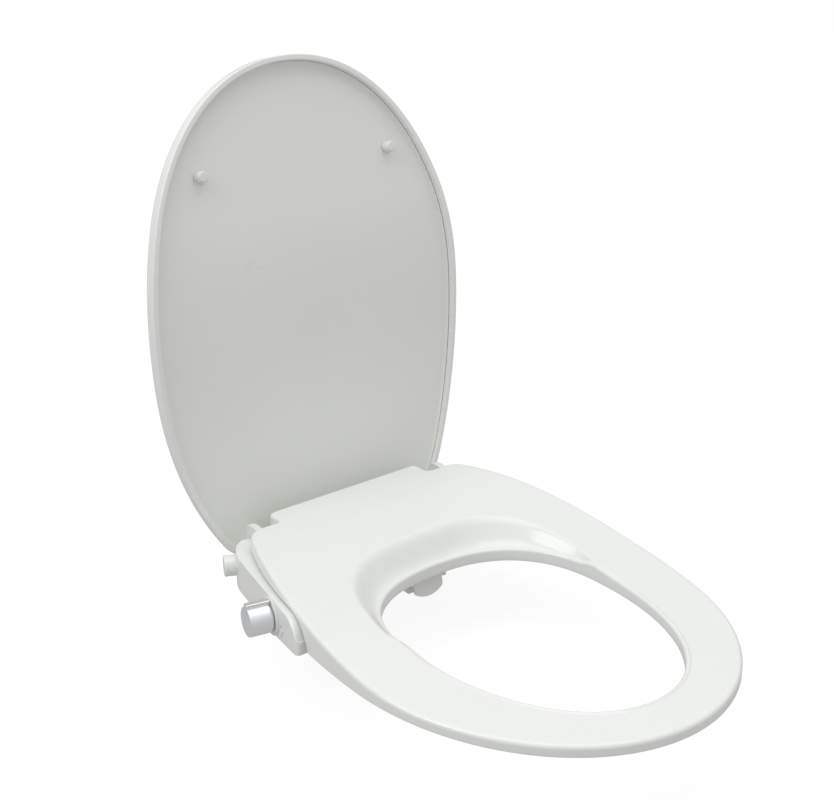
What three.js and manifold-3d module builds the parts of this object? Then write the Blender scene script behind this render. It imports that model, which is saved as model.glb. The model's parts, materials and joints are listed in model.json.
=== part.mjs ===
// Bidet seat with a side control arm, water nozzle and soft-close lid.
// Millimetres, +Z up. The origin lies on the underside of the base, straight below the hinge
// line. -Y points to the front of the seat, +X to the sitter's left.
import * as THREE from 'three';
import { mergeVertices } from 'three/addons/utils/BufferGeometryUtils.js';
import Module from 'manifold-3d';

const wasm = await Module();
wasm.setup();

// ---- driving dimensions ----
const HINGE_Z = 31;
const LID_OPEN = 102;
const GAP = 0.3;
const WALL = 2.5;

const SEAT = { half: 182.5, middle: 250, front: 220.5, rear: 350, back: 10, power: 2 };
const HOLE = { half: 116, front: 177, rear: 115, frontPower: 2.1, rearPower: 2.4 };
const SEAT_REAR_TOP = 57;
const SEAT_FRONT_TOP = 25;
const SEAT_UNDERSIDE = 14;
const SEAT_SHELL = 3.5;
const HUMP_HALF = 95.5;
const HUMP_BACK = 12.5;

const LID = { half: 187, middle: 217, front: 254.5, rear: 294, frontPower: 2.11, rearPower: 2.21 };
const LID_BACK = 22;
const TRAY_DEPTH = 9;
const LID_RIM = 6.5;
const LID_ROOF = 14.7;
const LID_BUMPER = { x: 113, front: 368 };

const HOUSING = { half: 112, front: -108, back: 11, split: 22, top: 45 };
const BARREL = 16;
const NOTCH = { inner: 78.3, outer: 115, front: -16, floor: 10 };
const SEAT_KNUCKLE = [79, 94.7];
const LID_KNUCKLE = [97, 114.5];
const POST = [115.3, 122.7];
const POST_REACH = 23.5;
const KNUCKLE_RADIUS = 12;
const PIN_RADIUS = 4;
const PIN_HOLE = 4.3;

const ARM_TOP = 41;
const ARM_FLOOR = { rear: 5, nose: 10, bend: -120, thick: 3 };
const ARM_NOSE = 27;
const ARM_SIDE = [[-155.5, -28], [-183.5, -160]];
const ARM_TIP = -165.5;

const KNOB = { y: -108, z: 21.2, radius: 14.6, length: 22.7, collar: 2.2, ring: 18.5, finHalf: 3.3, finTop: 18.4 };
const INLET = { x: -144.6, y: -7.5, z: 23, radius: 10.5, length: 12.5 };

const NOZZLE_SLOPE = 15;
const NOZZLE_EXIT = new THREE.Vector3(0, -125, -6);
const NOZZLE_RADIUS = 5.6;
const GATE_PIVOT = { y: -125, z: 9 };
const GATE = { half: 18, drop: 19, thick: 2.4, tilt: 9 };

const RAD = Math.PI / 180;

// ---- solids and placing ----
function solid(geometry) {
  const bare = geometry.clone();
  bare.deleteAttribute('normal');
  bare.deleteAttribute('uv');
  const merged = mergeVertices(bare, 1e-4);
  const vertProperties = new Float32Array(merged.attributes.position.array);
  const triVerts = new Uint32Array(merged.index.array);
  return new wasm.Manifold(new wasm.Mesh({ numProp: 3, vertProperties, triVerts }));
}

function geometryOf(body) {
  const mesh = body.getMesh();
  const geometry = new THREE.BufferGeometry();
  geometry.setAttribute('position', new THREE.BufferAttribute(mesh.vertProperties, 3));
  geometry.setIndex(new THREE.BufferAttribute(mesh.triVerts, 1));
  geometry.computeVertexNormals();
  return geometry;
}

function box(x0, x1, y0, y1, z0, z1) {
  const geometry = new THREE.BoxGeometry(x1 - x0, y1 - y0, z1 - z0);
  geometry.translate((x0 + x1) / 2, (y0 + y1) / 2, (z0 + z1) / 2);
  return solid(geometry);
}

function plate(points, z0, z1) {
  const shape = new THREE.Shape(points.map(([x, y]) => new THREE.Vector2(x, y)));
  const geometry = new THREE.ExtrudeGeometry(shape, { depth: z1 - z0, bevelEnabled: false });
  geometry.translate(0, 0, z0);
  return solid(geometry);
}

// Extrudes an outline drawn in (y, z) along X.
function beam(points, x0, x1) {
  const shape = new THREE.Shape(points.map(([y, z]) => new THREE.Vector2(y, z)));
  const geometry = new THREE.ExtrudeGeometry(shape, { depth: x1 - x0, bevelEnabled: false });
  const turn = new THREE.Matrix4().set(0, 0, 1, x0, 1, 0, 0, 0, 0, 1, 0, 0, 0, 0, 0, 1);
  return solid(geometry.applyMatrix4(turn));
}

// A turned piece: profile of [radius, distance along the axis], placed from a start point.
function turned(profile, start, direction, sides = 28) {
  const points = profile.map(([r, s]) => new THREE.Vector2(r, s));
  const geometry = new THREE.LatheGeometry(points, sides);
  const up = new THREE.Vector3(0, 1, 0);
  const turn = new THREE.Quaternion().setFromUnitVectors(up, direction.clone().normalize());
  geometry.applyQuaternion(turn);
  geometry.translate(start.x, start.y, start.z);
  return solid(geometry);
}

function rod(radius, start, end, sides = 24) {
  const way = end.clone().sub(start);
  const length = way.length();
  return turned([[0, 0], [radius, 0], [radius, length], [0, length]], start, way, sides);
}

const at = (x, y, z) => new THREE.Vector3(x, y, z);

function xRod(radius, x0, x1, y = 0, z = HINGE_Z, sides = 24) {
  return rod(radius, at(Math.min(x0, x1), y, z), at(Math.max(x0, x1), y, z), sides);
}

function tube(points, radius) {
  const path = new THREE.CatmullRomCurve3(points);
  const shape = new THREE.Shape();
  shape.absarc(0, 0, radius, 0, 2 * Math.PI);
  const settings = { extrudePath: path, steps: 24, curveSegments: 4, bevelEnabled: false };
  return solid(new THREE.ExtrudeGeometry(shape, settings));
}

// Both mirror halves of an X range, as [low, high] pairs.
const bothSides = ([inner, outer]) => [[inner, outer], [-outer, -inner]];

// ---- outlines ----
const smooth = (t) => {
  const c = Math.min(Math.max(t, 0), 1);
  return c * c * (3 - 2 * c);
};

// Height of the seat's top surface near its outer edge, at u millimetres in front of the hinge.
const seatTop = (u) => SEAT_FRONT_TOP + (SEAT_REAR_TOP - SEAT_FRONT_TOP) * (1 - smooth((u - 40) / 285));

// Distance from the middle of an egg to its edge, towards an angle counted from the front.
function eggReach(angle, half, front, rear, frontPower, rearPower) {
  const ahead = Math.cos(angle) >= 0;
  const long = ahead ? front : rear;
  const power = ahead ? frontPower : rearPower;
  const across = Math.abs(Math.sin(angle)) / half;
  const along = Math.abs(Math.cos(angle)) / long;
  return (across ** power + along ** power) ** (-1 / power);
}

// The same reach, cut off by a straight back edge with rounded corners.
function cutReach(reach, angle, backDistance, sharpness) {
  if (Math.cos(angle) >= -0.05) return reach;
  const straight = backDistance / -Math.cos(angle);
  return (reach ** -sharpness + straight ** -sharpness) ** (-1 / sharpness);
}

function seatReach(angle) {
  const reach = eggReach(angle, SEAT.half, SEAT.front, SEAT.rear, SEAT.power, SEAT.power);
  return cutReach(reach, angle, SEAT.middle - SEAT.back, 26);
}

const holeReach = (angle) => eggReach(angle, HOLE.half, HOLE.front, HOLE.rear, HOLE.frontPower, HOLE.rearPower);

function lidReach(angle) {
  const reach = eggReach(angle, LID.half, LID.front, LID.rear, LID.frontPower, LID.rearPower);
  return cutReach(reach, angle, LID.middle + LID_BACK, 34);
}

// Angles round an egg, closer together where the back corners are tight.
function anglesRound(count) {
  return Array.from({ length: count }, (_, k) => {
    const t = (2 * Math.PI * k) / count;
    return t - 0.22 * Math.sin(2 * t) * (Math.cos(t) < 0 ? -Math.cos(t) : 0);
  });
}

// Joins a closed section at every angle into one closed ring.
function ringOf(angles, section) {
  const rows = angles.map(section);
  const wide = rows[0].length;
  const position = rows.flat(2);
  const index = [];
  for (let i = 0; i < rows.length; i += 1) {
    const next = (i + 1) % rows.length;
    for (let j = 0; j < wide; j += 1) {
      const k = (j + 1) % wide;
      index.push(i * wide + j, next * wide + j, i * wide + k);
      index.push(next * wide + j, next * wide + k, i * wide + k);
    }
  }
  const geometry = new THREE.BufferGeometry();
  geometry.setAttribute('position', new THREE.Float32BufferAttribute(position, 3));
  geometry.setIndex(index);
  return solid(geometry);
}

// Joins open sections, running from the middle below to the middle above, into a closed cap. The
// quads are always split the same way, so that facing surfaces of two caps run parallel.
function domeOf(angles, section, bottom, top) {
  const rows = angles.map(section);
  const wide = rows[0].length;
  const away = ([x, y]) => Math.hypot(x - bottom[0], y - bottom[1]);
  const position = [...rows.flat(2), ...bottom, ...top];
  const low = rows.length * wide;
  const high = low + 1;
  const index = [];
  for (let i = 0; i < rows.length; i += 1) {
    const next = (i + 1) % rows.length;
    index.push(low, next * wide, i * wide);
    index.push(high, i * wide + wide - 1, next * wide + wide - 1);
    for (let j = 0; j < wide - 1; j += 1) {
      const [a, b, c, d] = [i * wide + j, next * wide + j, next * wide + j + 1, i * wide + j + 1];
      const outward = away(rows[i][j + 1]) >= away(rows[i][j]);
      index.push(...(outward ? [a, b, d, b, c, d] : [a, b, c, a, c, d]));
    }
  }
  const geometry = new THREE.BufferGeometry();
  geometry.setAttribute('position', new THREE.Float32BufferAttribute(position, 3));
  geometry.setIndex(index);
  return solid(geometry);
}

// ---- seat ----
// Lower edge of the seat's outer wall: it rises over the side arms of the base.
function seatWallFoot(u) {
  const over = ARM_TOP + 1.6;
  const start = 139;
  if (u <= start) return over;
  const t = Math.min((u - start) / 31, 1);
  return SEAT_UNDERSIDE + (over - SEAT_UNDERSIDE) * Math.sqrt(Math.max(1 - t * t, 0));
}

// Top surface height, from the hole's edge (inset 0) outwards: a scooped slope, then the rim.
function seatHeight(u, inset) {
  const innerEdge = 22 + 5 * (1 - smooth((u - 140) / 160));
  const rim = seatTop(u);
  return innerEdge + (rim - innerEdge) * smooth((inset + 4) / 36);
}

function seatSection(angle) {
  const outer = seatReach(angle);
  const inner = holeReach(angle);
  const place = (r, z) => [r * Math.sin(angle), -SEAT.middle - r * Math.cos(angle), z];
  const uAt = (r) => SEAT.middle + r * Math.cos(angle);
  const edge = (r) => seatHeight(uAt(r), r - inner);
  const foot = seatWallFoot(uAt(outer));
  const thick = SEAT_SHELL;
  const points = [place(outer, foot), place(outer, edge(outer) - 4.5), place(outer - 1.6, edge(outer) - 1.4)];
  const steps = 6;
  for (let k = 0; k <= steps; k += 1) {
    const r = outer - 5 + ((inner + 4 - outer + 5) * k) / steps;
    points.push(place(r, edge(r)));
  }
  points.push(place(inner + 1, edge(inner) - 1.6), place(inner, edge(inner) - 5), place(inner, SEAT_UNDERSIDE));
  points.push(place(inner + thick, SEAT_UNDERSIDE), place(inner + thick, edge(inner + thick) - thick - 1.5));
  for (let k = steps - 1; k >= 1; k -= 1) {
    const r = outer - 5 + ((inner + 4 - outer + 5) * k) / steps;
    points.push(place(r, edge(r) - thick));
  }
  points.push(place(outer - thick, Math.max(edge(outer) - thick - 2, foot + 0.6)), place(outer - thick, foot));
  return points;
}

function humpPlan(half, back, front, radius) {
  const steps = [0, 0.25, 0.5, 0.75, 1];
  const right = steps.map((t) => {
    const a = (t * Math.PI) / 2;
    return [half - radius + radius * Math.cos(a), back - radius + radius * Math.sin(a)];
  });
  const left = [...right].reverse().map(([x, y]) => [-x, y]);
  return [[-half, front], [half, front], ...right, ...left];
}

function makeSeatTop() {
  let body = ringOf(anglesRound(92), seatSection);
  const hump = plate(humpPlan(HUMP_HALF, HUMP_BACK, -24, 7), 46, SEAT_REAR_TOP);
  body = body.add(hump);
  body = body.subtract(plate(humpPlan(HUMP_HALF - SEAT_SHELL, HUMP_BACK - SEAT_SHELL, -40, 5), 30,
    SEAT_REAR_TOP - SEAT_SHELL));
  for (const [x0, x1] of bothSides(SEAT_KNUCKLE)) {
    body = body.add(box(x0, x1, -9, 8, HINGE_Z, SEAT_REAR_TOP - 2));
    body = body.add(xRod(KNUCKLE_RADIUS, x0, x1));
    body = body.subtract(xRod(PIN_HOLE, x0 - 1, x1 + 1));
  }
  for (const [x0, x1] of bothSides([POST[0] - 0.6, POST[1] + 0.6])) {
    body = body.subtract(xRod(28, x0, x1, 0, HINGE_Z, 48));
  }
  return body;
}

// The plate that closes the seat's ring from below, from one arm round the front to the other.
function makeSeatBottom() {
  const edge = SEAT_SHELL + GAP;
  const z0 = SEAT_UNDERSIDE + GAP;
  const z1 = z0 + 2.2;
  const section = (angle) => {
    const place = (r, z) => [r * Math.sin(angle), -SEAT.middle - r * Math.cos(angle), z];
    const outer = seatReach(angle) - edge;
    const inner = holeReach(angle) + edge;
    return [place(inner, z0), place(outer, z0), place(outer, z1), place(inner, z1)];
  };
  const ring = ringOf(anglesRound(96), section);
  return ring.subtract(box(-200, 200, -176, 40, 0, 60));
}

function makeSeatBumper(x, y) {
  const profile = [[0, 0], [8, 0], [9.5, 1.5], [9.5, 13.8], [0, 13.8]];
  return turned(profile, at(x, y, 0.2), at(0, 0, 1), 20);
}

// ---- lid, drawn closed and then turned open about the hinge line ----
// Height of the lid's lip above the base, following the seat with a small gap.
const lidLip = (u) => seatTop(u) + 2.2;

// The lid's thickness as a share of its greatest, thinner towards the hinges.
const lidFill = (u) => 0.68 + 0.32 * smooth((u - 20) / 170);

function lidPlace(angle, r, z) {
  return [r * Math.sin(angle), -LID.middle - r * Math.cos(angle), z];
}

const lidU = (angle, r) => LID.middle + r * Math.cos(angle);
const lidLevel = (u, rise) => lidLip(u) + rise * lidFill(u);

function makeLidOuter() {
  const section = (angle) => {
    const edge = lidReach(angle);
    const place = (r, rise) => lidPlace(angle, r, lidLevel(lidU(angle, r), rise));
    const pocket = edge - LID_RIM;
    return [
      place(pocket / 3, LID_ROOF), place((2 * pocket) / 3, LID_ROOF), place(pocket, LID_ROOF), place(pocket, 0.4),
      place(edge - LID_RIM + 1, 0), place(edge - 1, 0), place(edge, 1.2), place(edge, 11),
      place(edge - 1.6, 14.4), place(edge - 5.5, 16.6), place(edge - 14, 17.5), place((2 * edge) / 3, 17.9),
      place(edge / 3, 18.2),
    ];
  };
  const middle = lidLip(LID.middle);
  const bottom = [0, -LID.middle, middle + LID_ROOF];
  const top = [0, -LID.middle, middle + 18.4];
  let body = domeOf(anglesRound(84), section, bottom, top);
  for (const [x0, x1] of bothSides(LID_KNUCKLE)) {
    const link = [[-3, HINGE_Z + 4], [2, 70], [16, 70], [15, 50], [11, HINGE_Z]];
    body = body.add(beam(link, x0, x1));
    body = body.add(xRod(KNUCKLE_RADIUS, x0, x1));
    body = body.subtract(xRod(PIN_HOLE, x0 - 1, x1 + 1));
  }
  return body;
}

function makeLidPanel() {
  const section = (angle) => {
    const edge = lidReach(angle) - LID_RIM - GAP;
    const place = (r, rise) => lidPlace(angle, r, lidLevel(lidU(angle, r), rise));
    const low = TRAY_DEPTH;
    const high = TRAY_DEPTH + 2.2;
    return [place(edge / 3, low), place((2 * edge) / 3, low), place(edge, low), place(edge, high),
      place((2 * edge) / 3, high), place(edge / 3, high)];
  };
  const middle = lidLip(LID.middle);
  const bottom = [0, -LID.middle, middle + TRAY_DEPTH];
  const top = [0, -LID.middle, middle + TRAY_DEPTH + 2.2];
  let body = domeOf(anglesRound(84), section, bottom, top);
  for (const [x0, x1] of bothSides(LID_KNUCKLE)) {
    body = body.subtract(box(x0 - 0.6, x1 + 0.6, -1.5, 30, 40, 90));
  }
  return body;
}

function makeLidBumper(side) {
  const u = LID_BUMPER.front;
  const foot = seatHeight(u, 30) + 0.4;
  const height = lidLip(u) + TRAY_DEPTH - 1.2 - foot;
  const profile = [[0, 0], [4.4, 0], [5.6, 1.2], [5.6, height], [0, height]];
  return turned(profile, at(side * LID_BUMPER.x, -u, foot), at(0, 0, 1), 20);
}

// ---- base ----
function housingPlan(inset) {
  const half = HOUSING.half - inset;
  const front = HOUSING.front + inset;
  const round = 14;
  const corner = [0, 0.25, 0.5, 0.75, 1].map((t) => {
    const a = (t * Math.PI) / 2;
    return [half - round + round * Math.sin(a), front + round - round * Math.cos(a)];
  });
  const left = [...corner].reverse().map(([x, y]) => [-x, y]);
  return { corner, left };
}

function panPlan(inset) {
  const { corner, left } = housingPlan(inset);
  const step = NOTCH.front - 0.6 + inset;
  const wide = 123 - inset;
  const half = HOUSING.half - inset;
  const back = HOUSING.back - inset;
  const right = [[half, step], [wide, step], [wide, back]];
  return [...left, ...corner, ...right, ...[...right].reverse().map(([x, y]) => [-x, y])];
}

// Where the straight outer wall of the left arm is, u millimetres in front of the hinge.
function armWall(u) {
  const [[x0, y0], [x1, y1]] = ARM_SIDE;
  return x0 + ((x1 - x0) * (-u - y0)) / (y1 - y0);
}

function curvePoints(a, control, b, count) {
  const curve = new THREE.QuadraticBezierCurve(new THREE.Vector2(...a), new THREE.Vector2(...control),
    new THREE.Vector2(...b));
  return curve.getPoints(count).map((p) => [p.x, p.y]);
}

function armPlan(inset) {
  const inner = 112.6 + inset;
  const stub = 123.4 + inset;
  const back = 5 - inset;
  const step = NOTCH.front - 0.9 - inset;
  const push = ([x, y]) => [x + inset * 0.95, y - inset * 0.3];
  const rearCorner = curvePoints([-132, back], [-145 + inset * 0.8, -3 - inset * 0.6],
    push(ARM_SIDE[0]), 6);
  const nose = curvePoints(push(ARM_SIDE[1]), [-184.7 + inset, ARM_TIP + inset], [-179.5, ARM_TIP + inset], 5);
  return [[-stub, back], ...rearCorner, ...nose, [-158, ARM_TIP + inset], [-148 - inset, -158 + inset],
    [-148 - inset, -133 + inset], [-138, -127 + inset], [-inner, -127 + inset], [-inner, step], [-stub, step]];
}

// The blank right-hand arm: the same height, but flush under the seat's edge.
function blankPlan(inset) {
  const inner = 112.6 + inset;
  const stub = 123.4 + inset;
  const back = 5 - inset;
  const step = NOTCH.front - 0.9 - inset;
  const side = [];
  for (let u = 26; u <= 146; u += 20) {
    const across = Math.sqrt(1 - ((u - SEAT.middle) / SEAT.rear) ** 2);
    side.push([SEAT.half * across - 0.8 - inset, -u]);
  }
  const rearCorner = curvePoints([129, back], [139 - inset, -1 - inset], side[0], 4).slice(0, -1);
  const nose = curvePoints([174.2 - inset, -156], [176 - inset, ARM_TIP + inset], [165, ARM_TIP + inset], 4);
  return [[stub, back], ...rearCorner, ...side, ...nose, [152, ARM_TIP + inset], [146 + inset, -158 + inset],
    [146 + inset, -133 + inset], [138, -127 + inset], [inner, -127 + inset], [inner, step], [stub, step]];
}

// Side view of the plate under an arm: level, then rising towards the nose. It lies lift above its lowest place.
function armFoot(lift) {
  const { rear, nose, bend } = ARM_FLOOR;
  return [[ARM_TIP - 0.5, nose + lift], [bend, rear + lift], [20, rear + lift]];
}

// Side view of an arm: level on top, with a round nose in front.
function armProfile(inset) {
  const top = ARM_TOP - inset;
  const tip = ARM_TIP + inset;
  const foot = armFoot(ARM_FLOOR.thick + GAP - (inset ? 2 : 0));
  const arc = [0, 0.2, 0.4, 0.6, 0.8, 1].map((t) => {
    const a = (t * Math.PI) / 2;
    return [tip + ARM_NOSE - ARM_NOSE * Math.cos(a), top - ARM_NOSE + ARM_NOSE * Math.sin(a)];
  });
  return [[tip, foot[0][1]], ...arc, [20, top], ...foot.slice(1).reverse()].reverse();
}

function armShell(plan) {
  const outer = plate(plan(0), 0, ARM_TOP).intersect(beam(armProfile(0), -220, 220));
  const inner = plate(plan(WALL), 0, ARM_TOP - WALL).intersect(beam(armProfile(WALL), -220, 220));
  return outer.subtract(inner);
}

const hosePassage = () => box(-122, -104, -106, -90, 14, 30);

const knobAxis = at(ARM_SIDE[1][1] - ARM_SIDE[0][1], ARM_SIDE[0][0] - ARM_SIDE[1][0], 0).normalize();
const knobBase = at(armWall(-KNOB.y), KNOB.y, KNOB.z);
const alongKnob = (s) => knobBase.clone().addScaledVector(knobAxis, s);
const inletAxis = at(-0.9, 0.436, 0).normalize();
const inletBase = at(INLET.x, INLET.y, INLET.z);
const alongInlet = (s) => inletBase.clone().addScaledVector(inletAxis, s);

function makeArmCover() {
  let body = armShell(armPlan);
  body = body.add(rod(11.6, alongInlet(-5), alongInlet(1.4), 28));
  body = body.subtract(rod(8.9, alongInlet(-12), alongInlet(4), 28));
  body = body.subtract(rod(9.6, alongKnob(-6), alongKnob(4), 28));
  return body.subtract(hosePassage());
}

function makeBlankCover() {
  const button = box(150, 172, -84.4, -65.6, 15.6, 26.4);
  return armShell(blankPlan).subtract(button);
}

const nozzleWay = at(0, -Math.cos(NOZZLE_SLOPE * RAD), -Math.sin(NOZZLE_SLOPE * RAD));
const alongNozzle = (s) => NOZZLE_EXIT.clone().addScaledVector(nozzleWay, s);

const SCREWS = [[-102, -82], [102, -82], [-102, -26], [102, -26]];

function makeBasePan() {
  let body = plate(panPlan(0), 0, HOUSING.split);
  body = body.subtract(plate(panPlan(3), 3, HOUSING.split + 2));
  const armPlate = beam([...armFoot(0), ...armFoot(ARM_FLOOR.thick).reverse()], -220, 220);
  for (const plan of [armPlan, blankPlan]) body = body.add(plate(plan(-0.4), 0, 20).intersect(armPlate));
  for (const [x0, x1] of bothSides([110, 113.5])) body = body.add(box(x0, x1, -92, -18, 5, 8));
  body = body.subtract(rod(KNOB.ring + 0.4, alongKnob(0), alongKnob(6), 36));
  body = body.add(box(-96, 96, -94, -16, 0, 9.4));
  for (const [x0, x1] of bothSides([NOTCH.inner - 2.6, 123])) {
    body = body.add(box(x0, x1, NOTCH.front, HOUSING.back, 0, HOUSING.split));
  }
  for (const [x0, x1] of bothSides([NOTCH.inner, 125])) {
    body = body.subtract(box(x0, x1, NOTCH.front + 1, 60, NOTCH.floor, 80));
  }
  for (const [x0, x1] of bothSides(POST)) {
    const post = box(x0, x1, -9.4, 10, 1, 60).subtract(box(x0 - 1, x1 + 1, -10, 11, HINGE_Z, 61));
    const head = box(x0, x1, -9.4, 10, HINGE_Z, 60).intersect(xRod(POST_REACH, x0, x1, 0, HINGE_Z, 48));
    body = body.add(post).add(head);
    body = body.subtract(xRod(PIN_HOLE, x0 - 1, x1 + 1));
  }
  body = body.subtract(platePocket());
  body = body.add(box(-22, 22, -128, -106, 6, 13));
  body = body.subtract(box(-16, 16, -130, -24, -1, 40));
  body = body.subtract(box(-18.6, 18.6, -130, -118, -1, 14));
  body = body.subtract(xRod(1.9, -22, 22, GATE_PIVOT.y, GATE_PIVOT.z, 14));
  for (const [x, y] of SCREWS) {
    body = body.add(rod(6.5, at(x, y, 1), at(x, y, 6), 16));
    body = body.subtract(rod(2.3, at(x, y, -1), at(x, y, 7), 14));
    body = body.subtract(rod(4.1, at(x, y, -1), at(x, y, 2.6), 16));
  }
  return body.subtract(hosePassage());
}

// The mounting plate's outline, with a slot in front that leaves room for the nozzle.
function platePlan(extra) {
  const half = 88 + extra;
  const back = -20 + extra;
  const front = -88 - extra;
  const slot = 19 - extra;
  return [[-half, front], [-slot, front], [-slot, -26], [slot, -26], [slot, front], [half, front],
    [half, back], [-half, back]];
}

const platePocket = () => plate(platePlan(0.6), -1, 6.6);

function makeMountingPlate() {
  let body = plate(platePlan(0), GAP, 6.2);
  for (const x of [-70, 70]) {
    body = body.subtract(box(x - 4.5, x + 4.5, -78, -38, -1, 9));
    body = body.subtract(box(x - 9, x + 9, -82, -34, 3.4, 9));
  }
  return body;
}

function coverProfile(inset) {
  const top = HOUSING.top - inset;
  const low = HOUSING.split + GAP - (inset ? 1 : 0);
  const front = HOUSING.front + inset;
  const reach = BARREL - inset;
  const rise = Math.asin((top - HINGE_Z) / reach);
  const arc = [0, 1, 2, 3, 4, 5, 6].map((k) => {
    const a = Math.PI - rise - ((Math.PI - rise + 0.56) * k) / 6;
    return [reach * Math.cos(a), HINGE_Z + reach * Math.sin(a)];
  });
  const rear = HOUSING.back - inset;
  const slope = [[0, 36], [4, 40], [10, 43.5], [18, HOUSING.top]];
  const chamfer = [[front, low], ...slope.map(([y, z]) => [front + y, z - inset])];
  return [...chamfer, ...arc.filter(([y]) => y < rear || inset >= 0), [rear, low]].reverse();
}

function makeHousingCover() {
  const outerPlan = [...housingPlan(0).left, ...housingPlan(0).corner, [HOUSING.half, 30], [-HOUSING.half, 30]];
  const innerPlan = [...housingPlan(WALL).left, ...housingPlan(WALL).corner, [HOUSING.half - WALL, 30],
    [WALL - HOUSING.half, 30]];
  let body = beam(coverProfile(0), -HOUSING.half, HOUSING.half).intersect(plate(outerPlan, 0, 60));
  const hollow = beam(coverProfile(WALL), -HOUSING.half, HOUSING.half).intersect(plate(innerPlan, 0, 60));
  body = body.subtract(hollow);
  for (const [x0, x1] of bothSides([NOTCH.inner - WALL, HOUSING.half])) {
    body = body.add(beam(coverProfile(0), x0, x1).intersect(box(x0, x1, NOTCH.front - 1.5, 20, 0, 60)));
  }
  for (const [x, y] of SCREWS) body = body.add(rod(4.5, at(x, y, 6.3), at(x, y, HOUSING.top - 1), 14));
  for (const [x0, x1] of bothSides([NOTCH.inner, 130])) {
    body = body.subtract(box(x0, x1, NOTCH.front + 1, 60, 0, 80));
    body = body.subtract(xRod(PIN_HOLE, x0 - 6, x1 + 6));
  }
  for (const [x, y] of SCREWS) body = body.subtract(rod(2.1, at(x, y, 2), at(x, y, 32), 14));
  return body.subtract(hosePassage());
}

function makeScrew(x, y) {
  const profile = [[0, 0], [3.6, 0], [3.6, 1.2], [1.8, 1.9], [1.8, 29], [0, 31]];
  return turned(profile, at(x, y, 0.3), at(0, 0, 1), 14);
}

function makeDamper(side) {
  const body = xRod(9, side * 32, side * 68);
  return body.add(xRod(6, side * 67, side * 74.4));
}

const makeHingePin = (side) => xRod(PIN_RADIUS, side * 74.8, side * 122.4);

// ---- water parts ----
function makeKnobCollar() {
  const far = KNOB.collar;
  const r = KNOB.ring;
  const profile = [[10, GAP], [r, GAP], [r, far - 0.8], [r - 0.8, far], [10, far], [10, GAP]];
  return turned(profile, knobBase, knobAxis, 36);
}

function makeKnobBody() {
  const near = 0;
  const far = KNOB.length;
  const r = KNOB.radius;
  const profile = [[0, 13], [PIN_HOLE, 13], [PIN_HOLE, near], [r - 0.8, near], [r, near + 0.8],
    [r, far - 1], [r - 1, far], [0, far]];
  const body = turned(profile, alongKnob(KNOB.collar + 0.6), knobAxis, 40);
  return body.subtract(finBlock(0.3, 2));
}

// The pointer: a flat fin let into the top of the knob, along its whole length.
function finBlock(extra, over) {
  const tall = 9;
  const geometry = new THREE.BoxGeometry(2 * (KNOB.finHalf + extra), KNOB.length + 2 * over, tall + extra);
  const turn = new THREE.Matrix4().makeBasis(at(knobAxis.y, -knobAxis.x, 0), knobAxis.clone(), at(0, 0, 1));
  if (turn.determinant() < 0) turn.makeBasis(at(-knobAxis.y, knobAxis.x, 0), knobAxis.clone(), at(0, 0, 1));
  geometry.applyMatrix4(turn);
  const centre = alongKnob(KNOB.collar + 0.6 + KNOB.length / 2);
  geometry.translate(centre.x, centre.y, centre.z + KNOB.finTop - (tall + extra) / 2);
  return solid(geometry);
}

const makeSpindle = () => rod(PIN_RADIUS, alongKnob(-17), alongKnob(KNOB.collar + 13), 20);

function makeValveDisc() {
  const profile = [[PIN_HOLE, 0], [9.2, 0], [9.2, 3], [PIN_HOLE, 3], [PIN_HOLE, 0]];
  return turned(profile, alongKnob(-10), knobAxis, 24);
}

function makeValveBody() {
  const profile = [[0, -27], [12, -27], [12, -4], [9.6, -4], [9.6, -10.6], [PIN_HOLE, -10.6], [PIN_HOLE, -18],
    [0, -18]];
  return turned(profile, knobBase, knobAxis, 28);
}

function makeWaterInlet() {
  const profile = [[5, -9], [8.6, -9], [8.6, 11], [8, 11.6], [5, 11.6], [5, -9]];
  return turned(profile, inletBase, inletAxis, 28);
}

function makeInletCap() {
  const r = INLET.radius;
  const far = INLET.length + 1.8;
  const profile = [[8.9, 1.8], [r, 1.8], [r, far - 1], [r - 1, far], [0, far], [0, 13.4], [8.9, 13.4], [8.9, 1.8]];
  return turned(profile, inletBase, inletAxis, 28);
}

function makeInletSeal() {
  const profile = [[4.6, 11.9], [8.2, 11.9], [8.2, 13.1], [4.6, 13.1], [4.6, 11.9]];
  return turned(profile, inletBase, inletAxis, 20);
}

function makeInletHose() {
  return tube([alongInlet(-9.4), at(-131.8, -19, 20.5), at(-136, -45, 21), at(-149.5, -84, 22),
    at(-152.6, -99.5, 22)], 3.6);
}

function makeNozzleHose() {
  return tube([alongKnob(-27.4), alongKnob(-33), at(-124, -103, 22), at(-102, -95, 22), at(-58, -72, 26),
    at(-30, -32, 28), at(-11.6, -24, 24)], 3.4);
}

function makeNozzleHolder() {
  const profile = [[8.6, -127], [10.2, -127], [10.2, -12], [6.2, -12], [6.2, -20], [8.6, -20], [8.6, -127]];
  const sleeve = turned(profile, NOZZLE_EXIT, nozzleWay, 24);
  const bore = rod(6.2, alongNozzle(-60), alongNozzle(10), 24);
  const chamber = rod(8.6, alongNozzle(-60), alongNozzle(-20), 24);
  const block = box(-13, 13, -112, -96, -11, 8).subtract(bore).subtract(chamber);
  return sleeve.add(block);
}

function makeNozzleWand() {
  const r = NOZZLE_RADIUS;
  const profile = [[0, -123], [8.2, -123], [8.2, -119.5], [r, -119.5], [r, -48.3], [0, -48.3]];
  return turned(profile, NOZZLE_EXIT, nozzleWay, 24);
}

function makeNozzleTip() {
  const r = NOZZLE_RADIUS;
  const profile = [[0, -48], [r, -48], [r, -39], [r - 0.8, -37], [r - 2.4, -36], [0, -36]];
  return turned(profile, NOZZLE_EXIT, nozzleWay, 24);
}

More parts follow.
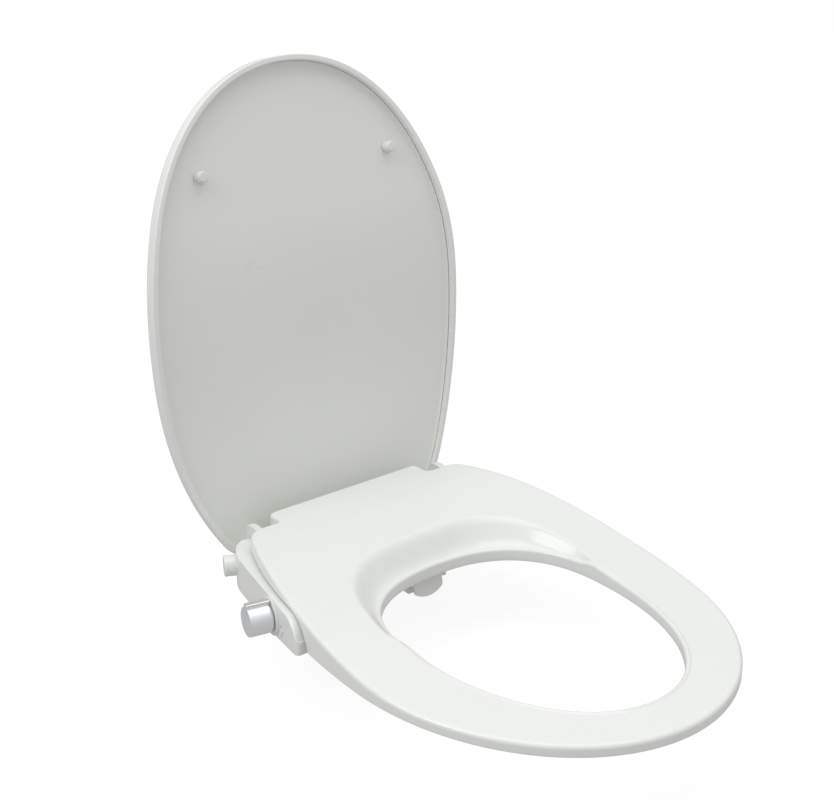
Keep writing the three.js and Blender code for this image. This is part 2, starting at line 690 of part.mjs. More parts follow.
class Helix extends THREE.Curve {
  constructor(radius, turns, start, end) {
    super();
    Object.assign(this, { radius, turns, start, end });
  }

  getPoint(t, target = new THREE.Vector3()) {
    const a = 2 * Math.PI * this.turns * t;
    const side = this.radius * Math.cos(a);
    const lift = this.radius * Math.sin(a);
    const along = alongNozzle(this.start + (this.end - this.start) * t);
    const upwards = at(0, -nozzleWay.z, nozzleWay.y).negate();
    return target.copy(along).add(at(side, 0, 0)).addScaledVector(upwards, lift);
  }
}

function makeNozzleSpring() {
  const shape = new THREE.Shape();
  shape.absarc(0, 0, 0.6, 0, 2 * Math.PI);
  const path = new Helix(7.1, 9, -118, -21.4);
  const settings = { extrudePath: path, steps: 90, curveSegments: 2, bevelEnabled: false };
  return solid(new THREE.ExtrudeGeometry(shape, settings));
}

function makeNozzleGate() {
  const { half, drop, thick } = GATE;
  const shape = new THREE.Shape();
  shape.moveTo(-half, 2);
  shape.lineTo(-half, 6 - drop);
  shape.quadraticCurveTo(0, -drop - 6, half, 6 - drop);
  shape.lineTo(half, 2);
  const geometry = new THREE.ExtrudeGeometry(shape, { depth: thick, bevelEnabled: false, curveSegments: 12 });
  geometry.translate(0, 0, -thick / 2);
  geometry.applyMatrix4(new THREE.Matrix4().makeRotationX(Math.PI / 2 - GATE.tilt * RAD));
  geometry.translate(0, GATE_PIVOT.y, GATE_PIVOT.z);
  const flap = solid(geometry);
  const barrel = xRod(2.9, -half, half, GATE_PIVOT.y, GATE_PIVOT.z, 18);
  return flap.add(barrel).subtract(xRod(1.8, -half - 1, half + 1, GATE_PIVOT.y, GATE_PIVOT.z, 14));
}

const makeGatePin = () => xRod(1.5, -20.6, 20.6, GATE_PIVOT.y, GATE_PIVOT.z, 12);

function makeReleaseButton() {
  const cap = box(150.5, 163.4, -84, -66, 16, 26);
  return cap.add(box(120, 151, -78, -72, 18, 24));
}

// ---- materials ----
const material = (color, roughness, metalness = 0) =>
  new THREE.MeshStandardMaterial({ color, roughness, metalness });
const white = () => material(0xeef0ec, 0.22);
const offWhite = () => material(0xdfe1dc, 0.35);
const grey = () => material(0x9a9c9b, 0.5);
const silver = () => material(0xc3c6c8, 0.25, 0.9);
const steel = () => material(0xb8bcc0, 0.35, 1);
const rubber = () => material(0xe6e7e3, 0.7);
const black = () => material(0x2a2c2d, 0.7);

// ---- assembly ----
const assembly = new THREE.Group();

function put(name, body, finish, group = assembly) {
  const mesh = new THREE.Mesh(geometryOf(body), finish);
  mesh.name = name;
  group.add(mesh);
}

put('base_pan', makeBasePan(), offWhite());
put('housing_cover', makeHousingCover(), white());
put('control_arm_cover', makeArmCover(), white());
put('blank_arm_cover', makeBlankCover(), white());
put('mounting_plate', makeMountingPlate(), grey());
SCREWS.forEach(([x, y], k) => put(`cover_screw_${k + 1}`, makeScrew(x, y), steel()));
[['left', -1], ['right', 1]].forEach(([name, side]) => {
  put(`hinge_damper_${name}`, makeDamper(side), grey());
  put(`hinge_pin_${name}`, makeHingePin(side), steel());
});
put('water_inlet', makeWaterInlet(), offWhite());
put('inlet_cap', makeInletCap(), white());
put('inlet_seal', makeInletSeal(), black());
put('inlet_hose', makeInletHose(), rubber());
put('valve_body', makeValveBody(), grey());
put('knob_collar', makeKnobCollar(), offWhite());
put('nozzle_hose', makeNozzleHose(), rubber());
put('nozzle_holder', makeNozzleHolder(), offWhite());
put('gate_pin', makeGatePin(), steel());

put('knob_body', makeKnobBody(), silver());
put('knob_fin', finBlock(0, 0), silver());
put('knob_spindle', makeSpindle(), steel());
put('valve_disc', makeValveDisc(), white());

put('nozzle_wand', makeNozzleWand(), white());
put('nozzle_tip', makeNozzleTip(), white());
put('nozzle_spring', makeNozzleSpring(), steel());
put('nozzle_gate', makeNozzleGate(), offWhite());
put('release_button', makeReleaseButton(), grey());

put('seat_top', makeSeatTop(), white());
put('seat_bottom', makeSeatBottom(), offWhite());
const SEAT_BUMPERS = [[-148, -245], [148, -245], [-98, -395], [98, -395]];
SEAT_BUMPERS.forEach(([x, y], k) => put(`seat_bumper_${k + 1}`, makeSeatBumper(x, y), rubber()));

// The lid hangs in a group whose origin is on the hinge line, so that it turns open in place.
const lid = new THREE.Group();
lid.position.set(0, 0, HINGE_Z);
lid.rotation.x = -LID_OPEN * RAD;
const lidParts = new THREE.Group();
lidParts.position.set(0, 0, -HINGE_Z);
lid.add(lidParts);
assembly.add(lid);
put('lid_outer', makeLidOuter(), white(), lidParts);
put('lid_panel', makeLidPanel(), white(), lidParts);
put('lid_bumper_left', makeLidBumper(-1), rubber(), lidParts);
put('lid_bumper_right', makeLidBumper(1), rubber(), lidParts);

export default assembly;
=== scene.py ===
"""Bidet seat: the visual model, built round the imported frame.

Lengths are in millimetres until a mesh is made. u is the distance in front of the hinge line, and equals -y.
"""
import json
import math

import bmesh
import bpy
from mathutils import Matrix, Vector


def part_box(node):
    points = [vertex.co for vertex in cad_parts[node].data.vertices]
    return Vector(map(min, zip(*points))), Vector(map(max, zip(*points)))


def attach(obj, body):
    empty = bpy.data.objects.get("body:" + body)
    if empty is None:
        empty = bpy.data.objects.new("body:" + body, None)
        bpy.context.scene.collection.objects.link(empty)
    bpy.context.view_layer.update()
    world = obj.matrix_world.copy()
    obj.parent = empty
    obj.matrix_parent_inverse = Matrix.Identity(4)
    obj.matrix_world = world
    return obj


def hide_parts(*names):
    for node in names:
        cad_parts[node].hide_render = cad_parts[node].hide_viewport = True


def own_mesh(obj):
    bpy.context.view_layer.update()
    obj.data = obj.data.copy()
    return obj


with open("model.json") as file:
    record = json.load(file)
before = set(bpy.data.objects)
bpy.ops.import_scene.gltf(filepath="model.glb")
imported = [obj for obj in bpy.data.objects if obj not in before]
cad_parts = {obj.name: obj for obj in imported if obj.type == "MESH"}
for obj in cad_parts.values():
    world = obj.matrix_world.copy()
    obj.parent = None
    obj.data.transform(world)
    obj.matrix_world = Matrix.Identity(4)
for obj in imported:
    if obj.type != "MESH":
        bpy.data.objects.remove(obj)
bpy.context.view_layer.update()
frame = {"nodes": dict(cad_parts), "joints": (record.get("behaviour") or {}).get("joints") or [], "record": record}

MM = 0.001
JOINTS = {j["name"]: j for j in frame["joints"]}


def joint_place(name):
    return Vector(JOINTS[name]["pos_m"]) / MM


def joint_axis(name):
    return Vector(JOINTS[name]["axis"]).normalized()


HINGE = joint_place("lid_hinge")
LID_OPEN = math.radians(JOINTS["lid_hinge"]["range_deg"][1])
BARREL = 12
PIN_BORE = 4.3


def box_mm(node):
    low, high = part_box(node)
    return low / MM, high / MM


# ---------------------------------------------------------------- small sums
def smooth(t):
    t = min(max(t, 0.0), 1.0)
    return t * t * (3 - 2 * t)


def mix(a, b, t):
    return a + (b - a) * t


def lerp2(p, q, t):
    return (mix(p[0], q[0], t), mix(p[1], q[1], t))


def corner(a, tip, b, count):
    """Points on a smooth corner from a to b, whose sides meet at tip."""
    points = []
    for k in range(count + 1):
        t = k / count
        s = 1 - t
        near = s ** 3 + 3 * s * s * t * 0.45
        middle = 3 * (s * s * t + s * t * t) * 0.55
        far = t ** 3 + 3 * s * t * t * 0.45
        points.append(tuple(near * a[i] + middle * tip[i] + far * b[i] for i in (0, 1)))
    return points


def line(a, b, count):
    return [lerp2(a, b, k / count) for k in range(count + 1)]


def joined(*runs):
    """The runs one after another, without a point twice."""
    points = []
    for run in runs:
        for p in run:
            if not points or math.dist(p, points[-1]) > 1e-6:
                points.append(p)
    return points


def mirrored(half):
    """A closed outline from its right half, which starts and ends on the middle line."""
    left = [(-x, y) for x, y in reversed(half[1:-1])]
    return half + left


def inward(outline, i):
    """Unit vector into a counter-clockwise closed outline at point i."""
    (x0, y0), (x1, y1) = outline[i - 1], outline[(i + 1) % len(outline)]
    length = math.hypot(x1 - x0, y1 - y0)
    return (-(y1 - y0) / length, (x1 - x0) / length)


def quarter_turn(steps):
    """Angles from nothing to a right angle, both included."""
    return [math.radians(90 * k / steps) for k in range(steps + 1)]


# ---------------------------------------------------------------- meshes
def make_piece(name, verts, faces, body, slot, replaces=(), turn=None):
    """A visible piece that moves with a body and takes the place of the CAD nodes in replaces."""
    mesh = bpy.data.meshes.new(name)
    if turn is None:
        points = [Vector(v) * MM for v in verts]
    else:
        points = [(turn @ Vector(v)) * MM for v in verts]
    mesh.from_pydata(points, [], faces)
    mesh.validate()
    mesh.polygons.foreach_set("use_smooth", [True] * len(mesh.polygons))
    obj = bpy.data.objects.new(name, mesh)
    bpy.context.scene.collection.objects.link(obj)
    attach(obj, body)
    if replaces:
        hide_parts(*replaces)
    mesh.materials.append(MATERIAL[slot])
    return obj


def bevelled(obj, width):
    bevel = obj.modifiers.new("edge_rounding", "BEVEL")
    bevel.width = width * MM
    bevel.segments = 2
    bevel.limit_method = "ANGLE"
    bevel.angle_limit = math.radians(35)
    bevel.harden_normals = False
    weigh(obj)


def weigh(obj):
    """Shading that follows the large faces, so that narrow roundings do not bend it."""
    normal = obj.modifiers.new("even_shading", "WEIGHTED_NORMAL")
    normal.keep_sharp = True
    normal.weight = 80


def ring_skin(rows, loop=True):
    """Quads that join closed rows in turn, and the last row to the first when loop is set."""
    wide = len(rows[0])
    verts = [p for row in rows for p in row]
    faces = []
    for i in range(len(rows) if loop else len(rows) - 1):
        n = (i + 1) % len(rows)
        for j in range(wide):
            k = (j + 1) % wide
            faces.append((i * wide + j, n * wide + j, n * wide + k, i * wide + k))
    return verts, faces


def closed_ends(rows, flip):
    """Rows joined into a bar, with a face over either end; flip turns all faces round."""
    verts, faces = ring_skin(rows, loop=False)
    wide = len(rows[0])
    faces.append(tuple(reversed(range(wide))))
    faces.append(tuple(range(len(verts) - wide, len(verts))))
    if flip:
        faces = [tuple(reversed(f)) for f in faces]
    return verts, faces


def gathered(rows, low, high):
    """Open rows joined in a ring, their first points gathered into low and their last ones into high."""
    wide = len(rows[0])
    verts = [p for row in rows for p in row]
    faces = []
    for i in range(len(rows)):
        n = (i + 1) % len(rows)
        for j in range(wide - 1):
            faces.append((i * wide + j, n * wide + j, n * wide + j + 1, i * wide + j + 1))
    start = len(verts)
    verts += [low, high]
    for i in range(len(rows)):
        n = (i + 1) % len(rows)
        faces.append((start, n * wide, i * wide))
        faces.append((start + 1, i * wide + wide - 1, n * wide + wide - 1))
    return verts, faces


def merged(*parts):
    verts, faces = [], []
    for v, f in parts:
        start = len(verts)
        verts += list(v)
        faces += [tuple(i + start for i in face) for face in f]
    return verts, faces


def lathe(profile, start, axis, sides=72):
    """A turned closed body.

    profile holds (radius, distance along the axis) and starts and ends at the same radius or on the axis.
    """
    turn = Vector((0, 0, 1)).rotation_difference(Vector(axis).normalized()).to_matrix()
    origin = Vector(start)
    on_axis = profile[0][0] == 0
    inner = profile[1:-1] if on_axis else profile
    verts, faces = [], []
    for k in range(sides):
        a = 2 * math.pi * k / sides
        for r, s in inner:
            verts.append(tuple(origin + turn @ Vector((r * math.cos(a), r * math.sin(a), s))))
    wide = len(inner)
    for k in range(sides):
        n = (k + 1) % sides
        for j in range(wide - 1 if on_axis else wide):
            m = (j + 1) % wide
            faces.append((k * wide + j, n * wide + j, n * wide + m, k * wide + m))
    if on_axis:
        low = len(verts)
        verts.append(tuple(origin + turn @ Vector((0, 0, profile[0][1]))))
        verts.append(tuple(origin + turn @ Vector((0, 0, profile[-1][1]))))
        for k in range(sides):
            n = (k + 1) % sides
            faces.append((low, n * wide, k * wide))
            faces.append((low + 1, k * wide + wide - 1, n * wide + wide - 1))
    return verts, faces


def make_turned(name, profile, start, axis, sides, body, slot, turn=None):
    """A turned piece that takes the place of the CAD node of the same name."""
    weigh(make_piece(name, *lathe(profile, start, axis, sides), body, slot, [name], turn))


def rounded_profile(points, radius):
    """A profile whose inner corners are rounded; the first and last points stay."""
    result = [points[0]]
    for before, tip, after in zip(points, points[1:], points[2:]):
        room = min(math.dist(before, tip), math.dist(tip, after)) * 0.48
        cut = min(radius, room)
        a = lerp2(tip, before, cut / math.dist(tip, before))
        b = lerp2(tip, after, cut / math.dist(tip, after))
        result += corner(a, tip, b, 4)
    result.append(points[-1])
    return result


def prism(loops, thick, bevel, place):
    """A flat plate with rounded edges.

    loops are closed outlines in the plate's own X and Y, the first one outside and the others holes. place
    carries them into the row frame.
    """
    curve = bpy.data.curves.new("plate", "CURVE")
    curve.dimensions = "2D"
    curve.fill_mode = "BOTH"
    curve.extrude = thick / 2 - bevel
    curve.bevel_depth = bevel
    curve.bevel_resolution = 2
    curve.offset = -bevel
    for loop in loops:
        spline = curve.splines.new("POLY")
        spline.points.add(len(loop) - 1)
        for point, (x, y) in zip(spline.points, loop):
            point.co = (x, y, 0, 1)
        spline.use_cyclic_u = True
    holder = bpy.data.objects.new("plate", curve)
    bpy.context.scene.collection.objects.link(holder)
    bpy.context.view_layer.update()
    shaped = holder.evaluated_get(bpy.context.evaluated_depsgraph_get())
    mesh = bpy.data.meshes.new_from_object(shaped)
    work = bmesh_of(mesh)
    verts = [tuple(place @ v.co) for v in work.verts]
    faces = [tuple(v.index for v in f.verts) for f in work.faces]
    work.free()
    bpy.data.objects.remove(holder)
    bpy.data.curves.remove(curve)
    bpy.data.meshes.remove(mesh)
    return verts, faces


def bmesh_of(mesh):
    """The mesh with its doubled points joined and its faces turned outwards."""
    work = bmesh.new()
    work.from_mesh(mesh)
    bmesh.ops.remove_doubles(work, verts=work.verts, dist=0.0005)
    bmesh.ops.recalc_face_normals(work, faces=work.faces)
    work.verts.index_update()
    return work


def across_x(x):
    """Carries a plate drawn in (y, z) so that it lies across X, centred on x."""
    return Matrix(((0, 0, 1, x), (1, 0, 0, 0), (0, 1, 0, 0), (0, 0, 0, 1)))


def arc(cx, cy, radius, start, end, count):
    angles = [math.radians(mix(start, end, k / count)) for k in range(count + 1)]
    return [(cx + radius * math.cos(a), cy + radius * math.sin(a)) for a in angles]


def hinge_lugs(loop, near, far, rounding):
    """Two lugs with holes for the hinge pins, one on either side, between near and far from the middle."""
    bore = arc(0, HINGE.z, PIN_BORE, 0, 345, 23)
    return [prism([loop, bore], far - near, rounding, across_x(side * (near + far) / 2)) for side in (1, -1)]


def tube(points, radius, sides=20):
    """A round tube through points, on one smooth curve."""
    path = [Vector(p) for p in points]
    fine = []
    for i in range(len(path) - 1):
        p0 = path[max(i - 1, 0)]
        p1, p2 = path[i], path[i + 1]
        p3 = path[min(i + 2, len(path) - 1)]
        for k in range(8):
            t = k / 8
            fine.append(0.5 * ((2 * p1) + (p2 - p0) * t + (2 * p0 - 5 * p1 + 4 * p2 - p3) * t * t
                               + (3 * p1 - p0 - 3 * p2 + p3) * t ** 3))
    fine.append(path[-1])
    rows = []
    side = Vector((0, 0, 1))
    for i, p in enumerate(fine):
        way = (fine[min(i + 1, len(fine) - 1)] - fine[max(i - 1, 0)]).normalized()
        side = (side - way * side.dot(way)).normalized()
        other = way.cross(side)
        rows.append([tuple(p + radius * (math.cos(a) * side + math.sin(a) * other))
                     for a in (2 * math.pi * k / sides for k in range(sides))])
    return closed_ends(rows, False)


# ---------------------------------------------------------------- materials
def plastic(name, colour, roughness, bump, coat=0.0, spot=0.02, scale=1.0, metal=0.0, under=0.0):
    """Moulded plastic: slow colour drift, uneven gloss, a faint orange peel, convex edges made slightly lighter.

    bump is the strength of the peel, spot the drift of the colour, scale how fine the texture is, and under how
    much light passes below the surface.
    """
    material = bpy.data.materials.new(name)
    material.use_nodes = True
    nodes, links = material.node_tree.nodes, material.node_tree.links
    shader = nodes["Principled BSDF"]
    shader.inputs["Metallic"].default_value = metal
    shader.inputs["IOR"].default_value = 1.49
    shader.inputs["Coat Weight"].default_value = coat
    shader.inputs["Coat Roughness"].default_value = 0.08
    if under:
        shader.inputs["Subsurface Weight"].default_value = under
        shader.inputs["Subsurface Radius"].default_value = (0.004, 0.003, 0.002)
    place = nodes.new("ShaderNodeTexCoord")

    drift = nodes.new("ShaderNodeTexNoise")
    drift.inputs["Scale"].default_value = 7 * scale
    drift.inputs["Detail"].default_value = 3
    links.new(place.outputs["Object"], drift.inputs["Vector"])
    tint = nodes.new("ShaderNodeMix")
    tint.data_type = "RGBA"
    tint.inputs[6].default_value = (*[c * (1 - spot) for c in colour], 1)
    tint.inputs[7].default_value = (*[min(c * (1 + spot), 1) for c in colour], 1)
    links.new(drift.outputs["Fac"], tint.inputs[0])

    # Convex edges, found by pointiness, are mixed slightly towards white.
    edge = nodes.new("ShaderNodeNewGeometry")
    ramp = nodes.new("ShaderNodeValToRGB")
    ramp.color_ramp.elements[0].position = 0.51
    ramp.color_ramp.elements[1].position = 0.62
    ramp.color_ramp.elements[0].color = (0, 0, 0, 1)
    ramp.color_ramp.elements[1].color = (0.35, 0.35, 0.35, 1)
    links.new(edge.outputs["Pointiness"], ramp.inputs["Fac"])
    lighter_edges = nodes.new("ShaderNodeMix")
    lighter_edges.data_type = "RGBA"
    lighter_edges.inputs[7].default_value = (*[mix(c, 1, 0.12) for c in colour], 1)
    links.new(ramp.outputs["Color"], lighter_edges.inputs[0])
    links.new(tint.outputs[2], lighter_edges.inputs[6])
    links.new(lighter_edges.outputs[2], shader.inputs["Base Color"])

    gloss = nodes.new("ShaderNodeTexNoise")
    gloss.inputs["Scale"].default_value = 24 * scale
    gloss.inputs["Detail"].default_value = 5
    links.new(place.outputs["Object"], gloss.inputs["Vector"])
    rough = nodes.new("ShaderNodeMapRange")
    rough.inputs["To Min"].default_value = roughness * 0.8
    rough.inputs["To Max"].default_value = roughness * 1.25
    links.new(gloss.outputs["Fac"], rough.inputs["Value"])
    links.new(rough.outputs["Result"], shader.inputs["Roughness"])

    peel = nodes.new("ShaderNodeTexNoise")
    peel.inputs["Scale"].default_value = 420 * scale
    peel.inputs["Detail"].default_value = 2
    links.new(place.outputs["Object"], peel.inputs["Vector"])
    raised = nodes.new("ShaderNodeBump")
    raised.inputs["Strength"].default_value = bump
    raised.inputs["Distance"].default_value = 0.0002
    links.new(peel.outputs["Fac"], raised.inputs["Height"])
    links.new(raised.outputs["Normal"], shader.inputs["Normal"])
    return material


def brushed(name, colour, roughness, stretch):
    """Metal or plating with fine lines that run along one axis."""
    material = plastic(name, colour, roughness, bump=0.03, metal=1.0)
    nodes, links = material.node_tree.nodes, material.node_tree.links
    shader = nodes["Principled BSDF"]
    place = nodes.new("ShaderNodeTexCoord")
    spread = nodes.new("ShaderNodeMapping")
    spread.inputs["Scale"].default_value = stretch
    links.new(place.outputs["Object"], spread.inputs["Vector"])
    grain = nodes.new("ShaderNodeTexNoise")
    grain.inputs["Scale"].default_value = 160
    grain.inputs["Detail"].default_value = 4
    links.new(spread.outputs["Vector"], grain.inputs["Vector"])
    lines = nodes.new("ShaderNodeMapRange")
    lines.inputs["To Min"].default_value = roughness * 0.75
    lines.inputs["To Max"].default_value = roughness * 1.4
    links.new(grain.outputs["Fac"], lines.inputs["Value"])
    links.new(lines.outputs["Result"], shader.inputs["Roughness"])
    return material


WHITE = (0.80, 0.815, 0.79)
# Colour, roughness, strength of the peel, and what else differs from plain plastic.
MOULDED = {
    "seat_gloss": (WHITE, 0.2, 0.04, {"coat": 0.35}),
    "seat_satin": ((0.77, 0.785, 0.76), 0.38, 0.1, {}),
    "lid_gloss": (WHITE, 0.2, 0.04, {"coat": 0.35}),
    "lid_inner": ((0.79, 0.80, 0.765), 0.3, 0.06, {"coat": 0.1}),
    "housing_gloss": ((0.79, 0.805, 0.78), 0.22, 0.04, {"coat": 0.25}),
    "housing_satin": ((0.74, 0.755, 0.73), 0.4, 0.1, {}),
    "grey_plastic": ((0.32, 0.33, 0.34), 0.5, 0.25, {"spot": 0.05, "scale": 2.0}),
    "ceramic": ((0.83, 0.83, 0.80), 0.3, 0.02, {}),
    "nozzle_plastic": ((0.80, 0.81, 0.80), 0.2, 0.03, {"coat": 0.3, "scale": 3.0}),
    "gate_plastic": ((0.76, 0.77, 0.74), 0.32, 0.05, {"coat": 0.2, "scale": 3.0}),
    "clear_hose": ((0.70, 0.72, 0.70), 0.25, 0.03, {"scale": 4.0, "under": 0.2}),
    "bumper_rubber": ((0.76, 0.77, 0.75), 0.45, 0.15, {"spot": 0.03, "scale": 4.0, "under": 0.1}),
    # black_rubber also colours the nozzle's outlets, where its near-black is painted shade standing in for the
    # shade inside the holes.
    "black_rubber": ((0.02, 0.02, 0.02), 0.6, 0.3, {"scale": 4.0}),
}
# Colour, roughness, and how much finer the lines are along each axis.
METAL = {
    "satin_silver": ((0.86, 0.875, 0.90), 0.42, (1, 1, 14)),
    "polished_silver": ((0.86, 0.86, 0.85), 0.16, (1, 12, 12)),
    "steel": ((0.52, 0.53, 0.55), 0.3, (1, 20, 20)),
}
MATERIAL = {}
for slot_name, (colour, roughness, bump, more) in MOULDED.items():
    MATERIAL[slot_name] = plastic(slot_name, colour, roughness, bump, **more)
for slot_name, (colour, roughness, stretch) in METAL.items():
    MATERIAL[slot_name] = brushed(slot_name, colour, roughness, stretch)


# ---------------------------------------------------------------- seat
SEAT_MID = 250.0
SEAT_HALF = 182.5
SEAT_FRONT = 220.5
SEAT_REAR = 350.0
SEAT_BACK = -10.0
SEAT_REAR_TOP = 57.0
SEAT_FRONT_TOP = 25.0
SEAT_LOW = 14.0
SEAT_EDGE = 4.0
HOLE_EDGE = 3.0
HUMP_HALF = 95.5
HUMP_BACK = 12.5
HUMP_ROUND = 7
SHELL = 3.5
# The scoop's crest is a squarish oval round the seat's middle; it fades out beside the hole.
SCOOP_HALF = 126.0
SCOOP_LONG = 142.0
SCOOP_POWER = 3.2
SCOOP_END = 93.0
SCOOP_FADE = 14.0
SCOOP_LOW = 27.0
# The hole's edge rolls down a little all the way round.
ROLL = 6.0
ROLL_DROP = 1.5
# Lower edge of the outer wall, over the arms, under the hump and at the slots for the hinge posts.
FOOT_OVER_ARMS = 42.8
FOOT_UNDER_HUMP = 46.0
POST_SLOT = (113.6, 124.4)
FOOT_DROP = 139
FOOT_DROP_LENGTH = 31


def seat_top(u):
    return SEAT_FRONT_TOP + (SEAT_REAR_TOP - SEAT_FRONT_TOP) * (1 - smooth((u - 40) / 285))


def egg(angle, half, front, rear, front_power, rear_power):
    """Distance from an egg's middle to its edge, at an angle counted from the front."""
    ahead = math.cos(angle) >= 0
    long, power = (front, front_power) if ahead else (rear, rear_power)
    return ((abs(math.sin(angle)) / half) ** power + (abs(math.cos(angle)) / long) ** power) ** (-1 / power)


def hole_reach(angle):
    return egg(angle, 116.0, 177.0, 115.0, 2.1, 2.4)


def hole_point(angle, out=0.0):
    """A point out millimetres outside the hole's edge, and square to it."""
    def at(a):
        r = hole_reach(a)
        return Vector((r * math.sin(a), -SEAT_MID - r * math.cos(a)))
    way = (at(angle + 1e-3) - at(angle - 1e-3)).normalized()
    p = at(angle) + out * Vector((way.y, -way.x))
    return (p.x, p.y)


def ring_edge(angle):
    """A point on the seat's outer edge, at an angle counted from the front."""
    long = SEAT_FRONT if math.cos(angle) >= 0 else SEAT_REAR
    return (SEAT_HALF * math.sin(angle), -SEAT_MID - long * math.cos(angle))


def seat_outline():
    last = math.radians(130.5)
    count = 150
    side = [ring_edge(last * k / count) for k in range(count + 1)]
    run = (119.0, SEAT_BACK)
    step = (HUMP_HALF + 5, SEAT_BACK)
    above_step = (HUMP_HALF, SEAT_BACK + 5)
    before_round = (HUMP_HALF, HUMP_BACK - HUMP_ROUND)
    after_round = (HUMP_HALF - HUMP_ROUND, HUMP_BACK)
    half = joined(
        side,
        corner(side[-1], (132.8, SEAT_BACK), run, 10),
        line(run, step, 12),
        corner(step, (HUMP_HALF, SEAT_BACK), above_step, 7),
        line(above_step, before_round, 4),
        corner(before_round, (HUMP_HALF, HUMP_BACK), after_round, 8),
        line(after_round, (0.0, HUMP_BACK), 18),
    )
    return mirrored(half)


def seat_height(x, y):
    """Top surface of the seat, with its scooped slope behind the hole."""
    rim = seat_top(-y)
    angle = math.atan2(x, -(y + SEAT_MID))
    reach = math.hypot(x, y + SEAT_MID)
    hole = hole_reach(angle)
    crest = egg(angle, SCOOP_HALF, SCOOP_LONG, SCOOP_LONG, SCOOP_POWER, SCOOP_POWER)
    deep = max(crest - hole, 0) * smooth((math.degrees(abs(angle)) - SCOOP_END) / SCOOP_FADE)
    drop = min(0.75 * deep + ROLL_DROP, rim - SCOOP_LOW)
    t = min(max((reach - hole) / max(deep, ROLL), 0), 1)
    return rim - drop * (1 + math.cos(math.pi * t ** 1.1)) / 2


def seat_foot(x, y):
    """Lower edge of the outer wall: low in front, high over the base's arms, higher still at the posts."""
    if y > SEAT_BACK - 4 and POST_SLOT[0] < abs(x) < POST_SLOT[1]:
        return SEAT_REAR_TOP - SEAT_EDGE - 0.2
    if abs(x) < HUMP_HALF + 0.5 and y > SEAT_BACK + 0.5:
        return FOOT_UNDER_HUMP
    if -y <= FOOT_DROP:
        return FOOT_OVER_ARMS
    t = min((-y - FOOT_DROP) / FOOT_DROP_LENGTH, 1)
    return SEAT_LOW + (FOOT_OVER_ARMS - SEAT_LOW) * math.sqrt(max(1 - t * t, 0))


def build_seat():
    """The shell of ring, scoop and hump, with the two knuckles it turns on."""
    outline = seat_outline()
    across = 40
    rows = []
    for i, (x, y) in enumerate(outline):
        nx, ny = inward(outline, i)

        def inset(d):
            return (x + nx * d, y + ny * d)

        edge = inset(SEAT_EDGE)
        top = seat_height(*edge)
        foot = seat_foot(x, y)
        angle = math.atan2(edge[0], -(edge[1] + SEAT_MID))
        hole = hole_point(angle)
        rim = hole_point(angle, HOLE_EDGE)
        inner_top = seat_height(*rim)
        row = [(*inset(SHELL), foot), (*inset(0.9), foot), (*inset(0.25), foot + 0.25), (x, y, foot + 0.9)]
        for t in (0.35, 0.7):
            row.append((x, y, mix(foot + 0.9, top - SEAT_EDGE, t)))
        for b in quarter_turn(7):
            row.append((*inset(SEAT_EDGE * (1 - math.cos(b))), top - SEAT_EDGE * (1 - math.sin(b))))
        for k in range(1, across):
            p = lerp2(edge, rim, 1 - (1 - k / across) ** 1.35)
            row.append((*p, seat_height(*p)))
        for b in quarter_turn(5):
            p = hole_point(angle, HOLE_EDGE * (1 - math.sin(b)))
            row.append((*p, inner_top - HOLE_EDGE * (1 - math.cos(b))))
        row += [(*hole, mix(inner_top - HOLE_EDGE, SEAT_LOW + 0.9, 0.5)), (*hole, SEAT_LOW + 0.9)]
        row += [(*hole_point(angle, 0.9), SEAT_LOW), (*hole_point(angle, SHELL), SEAT_LOW)]
        inside = hole_point(angle, SHELL + 0.3)
        ceiling = [lerp2(inside, inset(SHELL + 0.3), k / 10) for k in range(11)]
        row += [(*p, max(seat_height(*p) - SHELL, SEAT_LOW + 1)) for p in ceiling]
        row[-1] = (row[-1][0], row[-1][1], max(row[-1][2], foot + 0.4))
        rows.append(row)
    front, back, high = -9, 8, 54.5
    start = 180 - math.degrees(math.acos(-front / BARREL))
    end = 360 + math.degrees(math.acos(back / BARREL))
    loop = [(front, high), *arc(0, HINGE.z, BARREL, start, end, 30), (back, high)]
    verts, faces = merged(ring_skin(rows), *hinge_lugs(loop, 79, 94.7, 0.8))
    weigh(make_piece("seat_top", verts, faces, "seat", "seat_gloss", ["seat_top"]))


def build_seat_bottom():
    """The plate under the ring, ending behind the middle, with a raised rib along both edges."""
    count = 150
    outline = [ring_edge(math.radians(mix(-101, 101, k / count))) for k in range(count + 1)]
    z0, z1 = SEAT_LOW + 0.3, SEAT_LOW + 2.5
    margin = SHELL + 0.4
    rows = []
    for i, (x, y) in enumerate(outline):
        angle = math.atan2(x, -(y + SEAT_MID))
        tangent = Vector(outline[min(i + 1, count)]) - Vector(outline[max(i - 1, 0)])
        n = Vector((-tangent.y, tangent.x)).normalized()
        outer = (x + n.x * margin, y + n.y * margin)
        inner = hole_point(angle, margin)
        row = [(*outer, z1), (*outer, z0 + 0.5), (*lerp2(outer, inner, 0.012), z0)]
        for t in (0.2, 0.5, 0.8):
            row.append((*lerp2(outer, inner, t), z0 + 0.02))
        row += [(*lerp2(inner, outer, 0.012), z0), (*inner, z0 + 0.5), (*inner, z1)]
        rows.append(row[::-1])
    verts, faces = closed_ends(rows, True)
    weigh(make_piece("seat_bottom", verts, faces, "seat", "seat_satin", ["seat_bottom"]))


def build_bumpers():
    """Soft feet: a domed plug with a collar."""
    for k in range(4):
        node = f"seat_bumper_{k + 1}"
        low, high = box_mm(node)
        middle = (low + high) / 2
        r = (high.x - low.x) / 2
        tall = high.z - low.z
        stem = [(0, 0), (r - 2.2, 0.1), (r - 0.9, 3), (r - 0.6, tall - 3)]
        profile = rounded_profile([*stem, (r, tall - 2.8), (r, tall), (0, tall)], 1.2)
        make_turned(node, profile, (middle.x, middle.y, low.z), (0, 0, 1), 48, "seat", "bumper_rubber")


